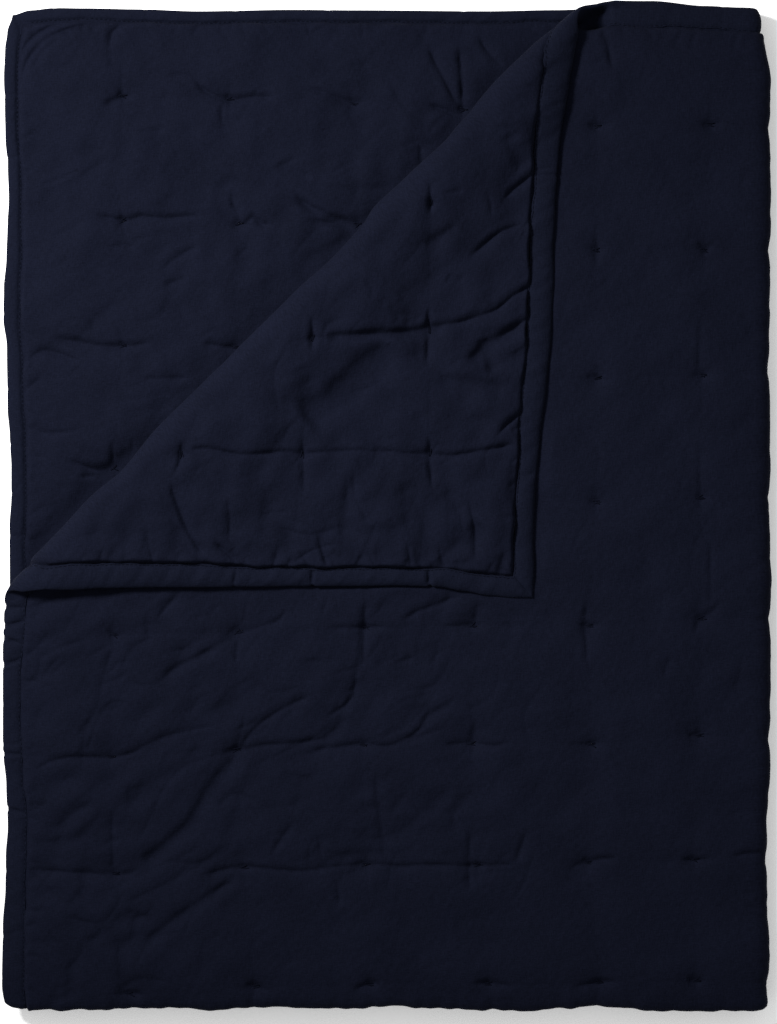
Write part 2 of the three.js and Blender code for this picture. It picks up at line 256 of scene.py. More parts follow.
TOP_CREASES = [
    (2.6, 1.9, 28, 765, 43, 755, 63, 750, 88, 750, 105, 750, 123, 746, 138, 741),
    (3.2, 1.3, 128, 743, 153, 731, 183, 723, 208, 717),
    (2.4, 1.7, 213, 746, 229, 743, 255, 738, 293, 735, 323, 730),
    (2.8, 1.8, 233, 741, 248, 721, 268, 706, 288, 695, 305, 688),
    (7, 2.2, 230, 748, 218, 763, 205, 778, 196, 793, 183, 815, 158, 838, 138, 855),
    (5, 1.5, 52, 820, 68, 805, 87, 795),
    (3, 1, 23, 805, 40, 795),
    (2.4, 1.8, 22, 862, 73, 865, 98, 867, 111, 868, 123, 866, 133, 861),
    (3, 1.2, 106, 800, 106, 830, 107, 861),
    (2.2, 1.5, 193, 868, 218, 862, 238, 859, 275, 862, 293, 863, 323, 860),
    (2, 1.5, 315, 860, 353, 857, 378, 857, 393, 859, 418, 857, 463, 858, 488, 857, 510, 856),
    (3, 1.5, 265, 847, 273, 833, 286, 815),
    (8, 0.9, 290, 800, 297, 770),
    (2.6, 1.1, 311, 828, 315, 848),
    (2.6, 1.2, 330, 872, 333, 896),
    (2.2, 1.1, 464, 818, 462, 850, 462, 885),
    (2.3, 1.5, 508, 856, 513, 841, 521, 820),
    (9, 2, 14, 592, 32, 591, 52, 586, 70, 580),
    (3, 1.5, 22, 602, 38, 596, 50, 590),
    (3, 0.9, 106, 640, 98, 668, 92, 695),
    (3, 1.1, 33, 653, 53, 641, 70, 635, 88, 628),
    (3, 1.1, 36, 672, 55, 648),
    (3.2, 1.7, 151, 611, 160, 600, 174, 584),
    (4, 1.6, 156, 668, 176, 657, 193, 649, 210, 641),
    (2.4, 1, 231, 633, 229, 655),
    (2.2, 1.4, 322, 621, 359, 620, 384, 620),
    (2.6, 1.4, 358, 592, 357, 633, 355, 664),
    (3, 1.9, 452, 588, 428, 598, 408, 605, 396, 614),
    (2.2, 1.4, 431, 619, 467, 619, 479, 621),
    (2.6, 1.3, 470, 597, 468, 614),
    (2.6, 1.2, 388, 656, 405, 650),
    (3.6, 2.1, 318, 711, 338, 698, 347, 688, 348, 672),
    (4.5, 1.4, 313, 733, 328, 723, 339, 707),
    (2.5, 1.7, 303, 743, 338, 739, 358, 736, 378, 739, 393, 734, 413, 721, 424, 697),
    (4, 1.2, 413, 715, 433, 701, 450, 692),
    (2.3, 1.5, 433, 738, 464, 736, 488, 738, 504, 734),
    (2.4, 1.2, 469, 707, 466, 735, 465, 754),
    (4, 0.8, 369, 762, 372, 800, 378, 852),
    (2.3, 1.3, 579, 594, 578, 618, 580, 659),
    (2, 1.1, 571, 618, 591, 618),
    (2.2, 1.4, 711, 592, 703, 605, 692, 611, 686, 628),
    (1.8, 0.8, 701, 533, 701, 600),
    (3.5, 0.8, 661, 652, 656, 668),
    (3, 0.8, 731, 648, 725, 684),
    (2, 1.3, 562, 737, 586, 737, 592, 731),
    (2, 1.2, 681, 728, 693, 726),
    (5, 1.6, 138, 936, 158, 919, 178, 904, 198, 891, 228, 870),
    (2.2, 1.8, 110, 986, 123, 985, 137, 987),
    (2.4, 1.7, 239, 978, 253, 980, 262, 985),
    (2.2, 1.8, 347, 982, 360, 977, 373, 975),
    (2.2, 1.8, 466, 976, 483, 974, 504, 977),
    (2.2, 1.8, 563, 981, 598, 975, 614, 973),
    (2.4, 1.6, 681, 972, 694, 971),
    (6, 1.2, 68, 953, 63, 993),
    (5, 1, 113, 928, 115, 978),
    (2.3, 1.7, 561, 861, 578, 855, 593, 851, 612, 850),
    (2.2, 1.5, 674, 852, 688, 852, 702, 851),
    (2.6, 1.6, 721, 849, 735, 846, 750, 845),
    (1.9, 1.4, 579, 120, 592, 119, 604, 120),
    (2, 1.4, 694, 119, 703, 118, 714, 116),
    (2.6, 1.7, 594, 24, 600, 38, 605, 66),
    (2.2, 0.9, 583, 58, 596, 55),
    (2.2, 1, 589, 228, 590, 246, 588, 262),
    (2, 1.1, 580, 369, 596, 372),
    (2, 1.2, 690, 235, 696, 244, 702, 238),
    (1.9, 0.8, 692, 310, 691, 340, 690, 367),
    (1.9, 0.7, 692, 438, 691, 470, 692, 486),
]

# Creases strewn over a part of the stack: how many, its left, upper, right and lower bounds, how they lean
# and how widely in degrees, the least and greatest depth, and the seed
LOWER_CRUMPLE = (260, (20, 590, 520, 1000), 32, 24, (0.25, 1.3), 41)
RIGHT_CRUMPLE = (130, (450, 20, 750, 1000), 70, 40, (0.2, 1), 42)
FLAP_CRUMPLE = (150, (60, 60, 540, 590), 28, 38, (0.25, 1.4), 55)
INNER_CRUMPLE = (190, (20, 15, 560, 580), 8, 34, (0.2, 1.1), 56)

# Creases that run in from the seams: the edge, where along it they start and end, the least and greatest
# of the steps between them and of their lengths, widths and depths, and the seed
TOP_PUCKERS = [
    ("left", 590, 1000, (8, 34), (7, 24), (1.8, 3), (0.5, 1.6), 43),
    ("head", 600, 760, (8, 34), (7, 24), (1.8, 3), (0.5, 1.6), 44),
]
FLAP_PUCKERS = [
    ("left", 24, 570, (9, 34), (8, 24), (1.8, 3), (0.5, 1.8), 58),
    ("head", 24, 570, (12, 40), (8, 24), (1.8, 3), (0.5, 1.8), 59),
    ("left", 40, 540, (22, 60), (26, 70), (4, 7), (0.7, 1.7), 60),
]
INNER_PUCKERS = [
    ("left", 1420, 1980, (8, 34), (7, 24), (1.8, 3), (0.4, 1.4), 61),
    ("foot", 24, 590, (8, 34), (7, 24), (1.8, 3), (0.4, 1.4), 62),
]


# Small helpers

def smooth(t):
    t = np.clip(t, 0, 1)
    return t * t * (3 - 2 * t)


def bump(gap, reach):
    return np.clip(1 - gap / reach, 0, 1) ** 2


def along_table(table, at):
    """The table's value at a place, easing from each row to the next."""
    places = np.array(list(table), float)
    values = np.array(list(table.values()), float)
    at = np.clip(at, places[0], places[-1])
    k = np.clip(np.searchsorted(places, at, side="right") - 1, 0, len(places) - 2)
    share = smooth((at - places[k]) / (places[k + 1] - places[k]))
    return values[k] + (values[k + 1] - values[k]) * share


def hill(offset, width):
    return np.exp(-(offset / width) ** 2)


def gap_to_nearest(at, places):
    return np.abs(np.asarray(at)[..., None] - places).min(-1)


def sharp_trough(offset, width):
    """One along a line, falling off on both sides like a crease with a small round bottom."""
    return np.exp((0.7 - np.hypot(offset, 0.7)) / width)


def random_waves(x, y, shortest, longest, seed, count=28):
    """Uneven ground of about unit height, as a sum of waves with lengths between the two given."""
    rng = np.random.default_rng(seed)
    total = np.zeros(np.broadcast(x, y).shape)
    for _ in range(count):
        length = np.exp(rng.uniform(np.log(shortest), np.log(longest)))
        angle = rng.uniform(0, 2 * np.pi)
        phase = rng.uniform(0, 2 * np.pi)
        total += np.cos((x * np.cos(angle) + y * np.sin(angle)) * 2 * np.pi / length + phase)
    return total * np.sqrt(2 / count)


def smooth_path(path, step=7):
    """Points of a path that runs softly through the given ones."""
    path = np.array(path, float).reshape(-1, 2)
    if len(path) == 2:
        return path
    ends = np.concatenate([2 * path[:1] - path[1:2], path, 2 * path[-1:] - path[-2:-1]])
    points = []
    for a, b, c, d in zip(ends, ends[1:], ends[2:], ends[3:]):
        count = max(int(np.hypot(*(c - b)) / step), 1)
        t = np.arange(count)[:, None] / count
        points.append(b + t / 2 * (c - a + t * (2 * a - 5 * b + 4 * c - d + t * (3 * (b - c) + d - a))))
    return np.concatenate(points + [path[-1:]])


# Folding

def half_turn(s, w, start, radius, power=2):
    """Cloth that makes a half turn from start on: how far along and up it is at s and w.
    The turn is round when the power is 2, and fuller at its shoulders when it is more."""
    angle = np.clip((s - start) / radius, 0, np.pi)
    before = np.minimum(s - start, 0)
    after = np.maximum(s - start - np.pi * radius, 0)
    sine, cosine = np.sin(angle), np.cos(angle)
    out = (radius + w) * (sine ** power + np.abs(cosine) ** power) ** (-1 / power)
    return before - after + out * sine, out * cosine


def turn_corner(x, y, z, u, v, w):
    """Turns the free corner of the top layer back about its slanting fold."""
    across = np.maximum((CORNER_LEVEL - u - v) / np.sqrt(2), 0)
    share = np.clip((u - v + CORNER_LEVEL) / (2 * CORNER_LEVEL), 0, 1)
    radius = CORNER_LEFT_RADIUS + (CORNER_HEAD_RADIUS - CORNER_LEFT_RADIUS) * share
    along, up = half_turn(across, -w, 0, radius)
    along = along + along_table(FOLD_SWELL, share) * np.sin(np.clip(across / radius, 0, np.pi))
    past = np.maximum(across - np.pi * CORNER_HEAD_RADIUS, 0)
    turned = smooth(across / 45)
    settled = smooth(past / (CORNER_SETTLE[0] + (CORNER_SETTLE[1] - CORNER_SETTLE[0]) * share))
    pressed = CORNER_PRESS * smooth((across - 16) / 30) * bump(v, CORNER_PRESS_REACH)
    pressed = pressed * smooth((share - 0.6) / 0.3)
    reach = along + past * (1 - CORNER_SHRINK)
    bow = CORNER_BOW * np.sin(np.pi * past * np.sqrt(2) / CORNER_LEVEL) * bump(v, CORNER_BOW_REACH)
    x = x + (across - reach - past * CORNER_SLIP) / np.sqrt(2) - bow
    y = y - (across - reach + past * CORNER_SLIP) / np.sqrt(2)
    x = x + turned * along_table(FLAP_RIGHT_SHIFT, u) * bump(v, FLAP_SHIFT_REACH)
    y = y + turned * along_table(FLAP_LOW_SHIFT, v) * bump(u, FLAP_SHIFT_REACH)
    z = z + radius - w - up - (2 * radius - LAYER_PITCH) * np.maximum(settled, pressed)
    z = z + turned * CORNER_LIFT * bump(np.hypot(u, v - CORNER_LIFT_PLACE), CORNER_LIFT_REACH)
    z = z - turned * CORNER_DIP * bump(v, CORNER_DIP_REACH) * smooth((CORNER_DIP_END - u) / 80)
    return x, y, z


def press_mouth(u, v, z):
    """The hollow in the head edge beside the turned-back corner, where the edge itself stays up as a lip."""
    aside = np.minimum(u, RIGHT_START + RIGHT_END - u)
    from_head = np.minimum(v, FLAT_LENGTH - v)
    top = (u < RIGHT_FOLD) & (v < BOTTOM_FOLD)
    start = np.where(top, smooth((u + v - CORNER_LEVEL + 24) / 16), smooth((aside - MOUTH_START) / 14))
    across = start * smooth((MOUTH_END - aside) / 11)
    hollow = across * smooth((from_head - 1) / 6) * smooth((MOUTH_REACH - from_head) / 4)
    lip = top * start * hill(u - LIP_PLACE, LIP_WIDTH) * smooth((7 - v) / 6)
    return z * (1 - MOUTH_SHARE * hollow) + LIP_HEIGHT * lip


def fold(u, v, w):
    """Where a spot of the flat cloth lies once it is folded, before the stack settles."""
    down, level = half_turn(v, w, BOTTOM_START, BOTTOM_RADIUS, FOLD_POWER)
    x, up = half_turn(u, level, RIGHT_START, RIGHT_RADIUS, FOLD_POWER)
    y = -down
    z = press_mouth(u, v, STACK_MIDDLE + up)
    turned = u + v < CORNER_LEVEL
    corner = turn_corner(x, y, z, u, v, w)
    return tuple(np.where(turned, moved, flat) for moved, flat in zip(corner, (x, y, z)))


def seen_place(u, v):
    """The same spot as seen from above, right of the stack's left edge and down from its head."""
    x, y, _ = fold(u, v, np.zeros_like(u))
    return x + RIGHT_START, BOTTOM_START - y


def settle(x, y, z):
    inset = {
        "left": x + RIGHT_START,
        "right": RIGHT_RADIUS + BOTTOM_RADIUS + LOFT / 2 - x,
        "head": BOTTOM_START - y,
        "foot": y + BOTTOM_RADIUS + LOFT / 2,
    }
    for side, (share, reach) in SINK.items():
        z = z * (1 - share * bump(inset[side], reach))
    fade = {side: bump(gap, OUTLINE_REACH) for side, gap in inset.items()}
    notch = SCALLOP_DEPTH * bump(gap_to_nearest(inset["head"], np.array(HEAD_ROWS)), SCALLOP_REACH)
    x = x - along_table(LEFT_OUTLINE, inset["head"]) * fade["left"]
    x = x + (along_table(RIGHT_OUTLINE, inset["head"]) - notch) * fade["right"]
    y = y + along_table(HEAD_OUTLINE, inset["left"]) * fade["head"]
    y = y - along_table(FOOT_OUTLINE, inset["left"]) * fade["foot"]
    return x, y, z


def place(u, v, w):
    """A spot of the flat cloth in the row's frame, in metres."""
    x, y, z = settle(*fold(u, v, w))
    return np.stack([x + STACK_PLACE[0], y + STACK_PLACE[1], np.maximum(z, 0)], -1) * MM


# Relief of the quilted cloth

# Where a spot lies on the flat cloth that is so far along a bound edge and so far in from it
EDGES = {
    "left": lambda along, inset: (inset, along),
    "right": lambda along, inset: (FLAT_WIDTH - inset, along),
    "head": lambda along, inset: (along, inset),
    "foot": lambda along, inset: (along, FLAT_LENGTH - inset),
}


def tuft_places():
    rng = np.random.default_rng(5)
    places = np.stack(np.meshgrid(COLUMNS, ROWS), -1) + rng.uniform(-4, 4, (len(ROWS), len(COLUMNS), 2))
    for row, shown in SHOWN_TUFTS.items():
        for column, (aside, down) in shown.items():
            places[row, column] = COLUMNS[column] + aside, ROWS[row] + down
    return places


TUFTS = tuft_places()


def press_tuft_lines(patch):
    """Shallow valleys that join the tufts along their rows and columns, with a crease that comes and goes."""
    for number, row in enumerate(TUFTS):
        down = patch.v - np.interp(patch.u_lines, row[:, 0], row[:, 1])
        drawn = np.clip(0.4 + 0.6 * random_waves(patch.u_lines, 0, 60, 200, 200 + number, 6), 0, 1)
        patch.height -= 0.4 * hill(down, 13) + 0.4 * drawn * sharp_trough(down, 2.2)
    for number, column in enumerate(TUFTS.transpose(1, 0, 2)):
        across = patch.u - np.interp(patch.v_lines, column[:, 1], column[:, 0])[:, None]
        drawn = np.clip(0.4 + 0.6 * random_waves(patch.v_lines, 0, 60, 200, 230 + number, 6), 0, 1)[:, None]
        patch.height -= 0.35 * hill(across, 14) + 0.3 * drawn * sharp_trough(across, 2.2)


def press_tufts(patch):
    """A tight pit at each tuft, and a few short creases that run out of it, mostly along row and column."""
    rng = np.random.default_rng(11 + patch.side)
    for spot_u, spot_v in TUFTS.reshape(-1, 2):
        depth = rng.uniform(0.85, 1.15)
        upright = np.array([0.5, 1.5]) * np.pi + rng.normal(0, 0.12, 2)
        turns = np.concatenate([[0, np.pi] + rng.normal(0, 0.3, 2), upright, rng.uniform(0, 2 * np.pi, 4)])
        lengths = np.concatenate([rng.uniform(12, 28, 2), rng.uniform(14, 48, 2), rng.uniform(6, 18, 4)])
        cuts = np.concatenate([rng.uniform(1.2, 2.4, 2), rng.uniform(0.5, 1.3, 2), rng.uniform(0.6, 1.8, 4)])
        bends = rng.normal(0, 0.15, 8)
        columns = slice(*np.searchsorted(patch.u_lines, (spot_u - TUFT_REACH, spot_u + TUFT_REACH)))
        rows = slice(*np.searchsorted(patch.v_lines, (spot_v - TUFT_REACH, spot_v + TUFT_REACH)))
        across = patch.u_lines[columns][None, :] - spot_u
        down = patch.v_lines[rows][:, None] - spot_v
        gap = np.hypot(across, down)
        pit = PIT_DEPTH[patch.side] * np.exp((0.8 - np.hypot(gap, 0.8)) / 2.3)
        dent = depth * (pit + DENT_DEPTH[patch.side] * hill(gap, 12))
        for turn, length, cut, bend in zip(turns, lengths, cuts, bends):
            out = across * np.cos(turn) + down * np.sin(turn)
            aside = down * np.cos(turn) - across * np.sin(turn) + bend * out * out / length
            fade = smooth(out / 2) * np.clip(1 - out / length, 0, 1) ** 1.5
            dent = dent + PIT_CREASING[patch.side] * cut * fade * sharp_trough(aside, 1.35)
        patch.height[rows, columns] -= dent


def press_crease(height, x, y, path, width, depth, weight):
    """Presses a crease into the height along a path, uneven on its way and steeper on its upper-left side."""
    path = smooth_path(path)
    reach = 7 * width
    low, high = path.min(0) - reach, path.max(0) + reach
    spot = (x > low[0]) & (x < high[0]) & (y > low[1]) & (y < high[1]) & (weight > 0.01)
    if not spot.any():
        return
    here = np.stack([x[spot], y[spot]], -1)
    steps = np.diff(path, axis=0)
    lengths = np.hypot(*steps.T)
    starts = np.concatenate([[0], np.cumsum(lengths)[:-1]])
    offset = np.full(len(here), np.inf)
    travelled = np.zeros(len(here))
    upper = np.zeros(len(here), bool)
    for origin, step, length, start in zip(path[:-1], steps, lengths, starts):
        way = step / length
        t = (here - origin) @ way
        aside = here - origin - np.clip(t, 0, length)[:, None] * way
        gap = np.hypot(*aside.T)
        closer = gap < offset
        offset = np.where(closer, gap, offset)
        travelled = np.where(closer, start + t, travelled)
        upper = np.where(closer, aside.sum(1) < 0, upper)
    total = lengths.sum()
    fade = min(0.35 * total, 16)
    ends = smooth((travelled + width) / fade) * smooth((total + width - travelled) / fade)
    uneven = 1 + 0.22 * np.sin(travelled * 2 * np.pi / 37 + path[0, 0])
    if width < SOFT_FROM:
        line = sharp_trough(offset, width * np.where(upper, 0.45, 0.75))
        trough = 0.72 * line + 0.28 * hill(offset, 2.8 * width)
    else:
        trough = hill(offset, width * np.where(upper, 0.8, 1.4))
    ridge = 0.14 * upper * hill(offset - 2.6 * width, 1.3 * width)
    height[spot] -= depth * uneven * ends * (trough - ridge) * weight[spot]


def crumple(count, area, slant, spread, depths, seed):
    """Short creases and hollows strewn over an area, leaning about one way."""
    rng = np.random.default_rng(seed)
    rows = []
    for _ in range(count):
        middle = np.array([rng.uniform(area[0], area[2]), rng.uniform(area[1], area[3])])
        angle = np.radians(rng.normal(slant, spread))
        way = np.array([np.cos(angle), -np.sin(angle)])
        bend = np.array([-way[1], way[0]]) * rng.normal(0, 0.14)
        length = np.exp(rng.normal(np.log(40), 0.5))
        path = [middle - way * length / 2, middle + bend * length, middle + way * length / 2]
        width = rng.uniform(1.7, 2.8) if rng.random() < 0.55 else rng.uniform(4, 8)
        rows.append((width, rng.uniform(*depths), *path))
    return rows


def seam_puckers(side, edge, start, end, steps, lengths, widths, depths, seed):
    """Creases that run in from the seam of a bound edge, as they are seen on the folded stack."""
    rng = np.random.default_rng(seed)
    rows = []
    at = start
    while at < end:
        lean = rng.uniform(-0.8, 0.8)
        length = rng.uniform(*lengths)
        seam = along_table(SEAMS[edge, side], at)
        ends = np.array([-0.5 * length, length])
        u, v = EDGES[edge](at + ends * lean, seam + ends)
        rows.append((rng.uniform(*widths), rng.uniform(*depths), *np.stack(seen_place(u, v), -1)))
        at += rng.uniform(*steps)
    return rows


def press_creases(patch, creases, weight):
    for width, depth, *path in creases:
        press_crease(patch.height, patch.x, patch.y, path, width, depth, weight)


def press_puckers(patch, table, weight):
    for row in table:
        press_creases(patch, seam_puckers(patch.side, *row), weight)


def flap_cover(x, y):
    """One where the turned-back corner lies over the top layer, easing in from its edges."""
    right = 564 - 0.04 * y
    gap = np.minimum(np.minimum(right - x, 584 - y), (x + y - 585) / np.sqrt(2))
    return smooth(gap / 16)


def shape_face(patch):
    u, v, x, y = patch.u, patch.v, patch.x, patch.y
    top = smooth((RIGHT_END - u) / 30) * smooth((BOTTOM_END - v) / 16)
    top = top * smooth((u + v - CORNER_LEVEL - 5) / 20) * (1 - flap_cover(x, y))
    rough = 0.5 + 0.5 * smooth((640 - x) / 420) * smooth((y - 480) / 160)
    rough = rough * (1 - 0.65 * smooth((y - 860) / 40) * smooth((x - 180) / 80))
    patch.height += top * (1.6 + 0.9 * random_waves(x, y, 80, 190, 31))
    patch.height += top * rough * 0.5 * random_waves(x, y, 28, 60, 32)
    patch.height += top * 0.07 * random_waves(x, y, 9, 22, 33)
    patch.height += 0.6 * hill(v - BOTTOM_FOLD, 13) * random_waves(u, 0.3 * v, 12, 48, 34)
    patch.height += 0.2 * hill(u - RIGHT_FOLD, 20) * random_waves(0.3 * u, v, 14, 60, 35)
    press_creases(patch, TOP_CREASES, top * TOP_GAIN)
    press_creases(patch, crumple(*LOWER_CRUMPLE), top * rough)
    press_creases(patch, crumple(*RIGHT_CRUMPLE), top * rough)
    press_puckers(patch, TOP_PUCKERS, top)


def shape_back(patch):
    u, v, x, y = patch.u, patch.v, patch.x, patch.y
    flap = smooth((CORNER_LEVEL - u - v - 25) / 40)
    inner = np.where(u < RIGHT_START, smooth((v - BOTTOM_END) / 40), 0) * smooth((CORNER_LEVEL - x - y) / 20)
    patch.height += flap * (1.6 + 1.1 * random_waves(x, y, 70, 160, 51))
    patch.height += flap * 0.6 * random_waves(x, y, 26, 60, 52)
    patch.height += inner * (1.6 + 0.9 * random_waves(x, y, 70, 170, 53))
    patch.height += inner * 0.4 * random_waves(x, y, 26, 60, 54)
    patch.height += (flap + inner) * 0.07 * random_waves(x, y, 9, 22, 57)
    patch.height -= inner * 2.8 * hill(x + y - 578, 34)
    patch.height -= inner * 5.2 * hill(x + y - 574, 18) * smooth((y - 400) / 80)
    press_creases(patch, FLAP_CREASES, flap * FLAP_GAIN)
    press_creases(patch, crumple(*FLAP_CRUMPLE), flap)
    press_puckers(patch, FLAP_PUCKERS, flap)
    press_creases(patch, INNER_CREASES, inner * INNER_GAIN)
    press_creases(patch, crumple(*INNER_CRUMPLE), inner)
    press_puckers(patch, INNER_PUCKERS, inner)


def draw_in_at_seam(patch):
    """The cloth dips to the seam of the bound edge, where it is sewn down, most steeply on the flap."""
    u, v = patch.u, patch.v
    edges = {"left": (u, v), "right": (FLAT_WIDTH - u, v), "head": (v, u), "foot": (FLAT_LENGTH - v, u)}
    insets = [inset - along_table(SEAMS[edge, patch.side], at) for edge, (inset, at) in edges.items()]
    insets = np.stack(insets)
    nearest = insets.argmin(0)[None]
    inset = np.take_along_axis(insets, nearest, 0)[0]
    along = np.take_along_axis(np.stack([at for _, at in edges.values()]), nearest, 0)[0]
    puffed = smooth((CORNER_LEVEL - u - v + 12) / 25) + 0.55 * smooth((v - INNER_START) / 100)
    drawn = 0.45 + 0.3 * smooth((60 - v) / 20) + 0.45 * bump(np.abs(v - CORNER_LEVEL), 40) * (u < 60)
    puffed = np.where(patch.side == BACK, puffed, drawn)
    eased = (0.4 + 0.6 * smooth((u - 380) / 120)) * smooth((70 - v) / 20) * (patch.side == BACK)
    rounded = np.exp(-np.maximum(insets[[0, 3]], 0).sum(0) / 9) * (v > 1800) * (patch.side == BACK)
    inset = inset - 5 * rounded
    wobble = random_waves(along, 0, 16, 50, 23 + patch.side, 10)
    slack = np.clip(1 + 0.3 * random_waves(along, 0, 30, 90, 27 + patch.side, 10), 0.5, 1.6)
    stray = (0.3 + 0.3 * puffed) * wobble * np.exp(-np.abs(inset) / 6)
    lead = inset - 1.5 * puffed * (1 - 0.5 * eased) + stray
    rise = (1 - np.exp(-np.maximum(lead, 0) / (slack * (3.2 - 1.9 * puffed)))) ** 0.8
    full = patch.height + (0.6 + 0.8 * puffed - 2.2 * eased) * hill(inset, 10)
    sewn = SEAM_HALF * (1 - 0.7 * puffed)
    patch.height = sewn + (full - sewn) * rise


class Patch:
    """A grid of lines on one side of the flat cloth, and how far the cloth stands off the middle there."""

    def __init__(self, side, u_lines, v_lines, shown):
        self.side = side
        self.u_lines = u_lines
        self.v_lines = v_lines
        self.u, self.v = np.meshgrid(u_lines, v_lines)
        self.x, self.y = seen_place(self.u, self.v)
        middles = [(at[1:] + at[:-1]) / 2 for at in (u_lines, v_lines)]
        self.shown = shown(*np.meshgrid(*middles))
        self.flat_area = (np.outer(np.diff(v_lines), np.diff(u_lines)) * self.shown).sum() * MM * MM
        self.height = np.full(self.u.shape, LOFT / 2)
        press_tuft_lines(self)
        press_tufts(self)
        (shape_face if side == FACE else shape_back)(self)
        sunk = np.maximum(FREE_DEPTH - self.height, 0)
        self.height += sunk - (FREE_DEPTH - LEAST) * (1 - np.exp(-sunk / (FREE_DEPTH - LEAST)))
        draw_in_at_seam(self)

    def cell(self, u, v):
        column = np.clip(np.searchsorted(self.u_lines, u) - 1, 0, len(self.u_lines) - 2)
        row = np.clip(np.searchsorted(self.v_lines, v) - 1, 0, len(self.v_lines) - 2)
        return row, column

    def shows(self, u, v):
        within = self.u_lines[0] < u < self.u_lines[-1] and self.v_lines[0] < v < self.v_lines[-1]
        return within and self.shown[self.cell(u, v)]

    def height_at(self, u, v):
        row, column = self.cell(u, v)
        return self.height[row:row + 2, column:column + 2].mean()


# Meshes

def make_mesh(name, points, quads, flat, material):
    """A smooth mesh that rides on the one body, with the flat cloth's places as its UV map."""
    used, quads = np.unique(quads, return_inverse=True)
    quads = quads.reshape(-1, 4)
    points, flat = points[used], flat[used]
    mesh = bpy.data.meshes.new(name)
    mesh.vertices.add(len(points))
    mesh.vertices.foreach_set("co", np.ascontiguousarray(points, np.float32).ravel())
    mesh.loops.add(quads.size)
    mesh.loops.foreach_set("vertex_index", np.ascontiguousarray(quads, np.int32).ravel())
    mesh.polygons.add(len(quads))
    mesh.polygons.foreach_set("loop_start", np.arange(0, quads.size, 4, dtype=np.int32))
    mesh.update(calc_edges=True)
    mesh.validate()
    layer = mesh.uv_layers.new(name="flat")
    layer.data.foreach_set("uv", np.ascontiguousarray(flat[quads.ravel()] * MM, np.float32).ravel())
    mesh.shade_smooth()
    mesh.materials.append(material)
    obj = bpy.data.objects.new(name, mesh)
    bpy.context.scene.collection.objects.link(obj)
    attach(obj, "root")
    return obj


def grid_quads(down, across, turned=False):
    corner = np.arange(down * across).reshape(down, across)
    quads = np.stack([corner[:-1, :-1], corner[1:, :-1], corner[1:, 1:], corner[:-1, 1:]], -1).reshape(-1, 4)
    return quads[:, ::-1] if turned else quads


def lines(start, *stretches):
    """Lines of the cloth from a place on: each stretch runs to its end at about its own step."""
    places = []
    for end, step in stretches:
        count = max(int(round((end - start) / step)), 1)
        places.append(np.linspace(start, end, count, endpoint=False))
        start = end
    return np.concatenate(places + [[start]])


def make_cloth(name, patch, material):
    points = place(patch.u, patch.v, patch.side * patch.height).reshape(-1, 3)
    flat = np.stack([patch.u, patch.v], -1).reshape(-1, 2)
    quads = grid_quads(*patch.u.shape, turned=patch.side == BACK)[patch.shown.ravel()]
    cloth = make_mesh(name, points, quads, flat, material)
    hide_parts("quilt")


# Lines of the cloth: close where it shows, wide where it is folded away. The top layer's face shows except
# under the turned-back corner, the back on that corner and on the corner of the layer below, each a triangle
# of square blocks.
LEFT_STEP = 1.5
RIGHT_STEP = 1.8
DOWN_STEP = 1.65
UPPER_STEP = 1.9
FLAP_STEP = 1.58
SEAM_STEP = 0.9
INNER_STEP = 1.75
UNDER_STEP = 10
HIDDEN_STEP = 15
FACE_END = (RIGHT_END + 6, BOTTOM_END + 6)
COVERED = (520, 575)
PARTING = 412
BLOCK = 75
BLOCKS = 8
CORNER_END = CLOTH_INSET + BLOCK * BLOCKS
SEAM_END = 42
INNER_SEAM_END = 27
U_END = FLAT_WIDTH - CLOTH_INSET
V_END = FLAT_LENGTH - CLOTH_INSET


def everywhere(u, v):
    return np.ones(u.shape, bool)


def is_under(u, v):
    return (u > FACE_END[0]) | (v > FACE_END[1]) | ((u < COVERED[0]) & (v < COVERED[1]))


def is_flap(u, v):
    blocks = np.floor((u - CLOTH_INSET) / BLOCK) + np.floor((v - CLOTH_INSET) / BLOCK)
    return blocks < BLOCKS


def is_inner(u, v):
    return is_flap(u, FLAT_LENGTH - v)


def is_hidden(u, v):
    return ~is_flap(u, v) & ~is_inner(u, v)


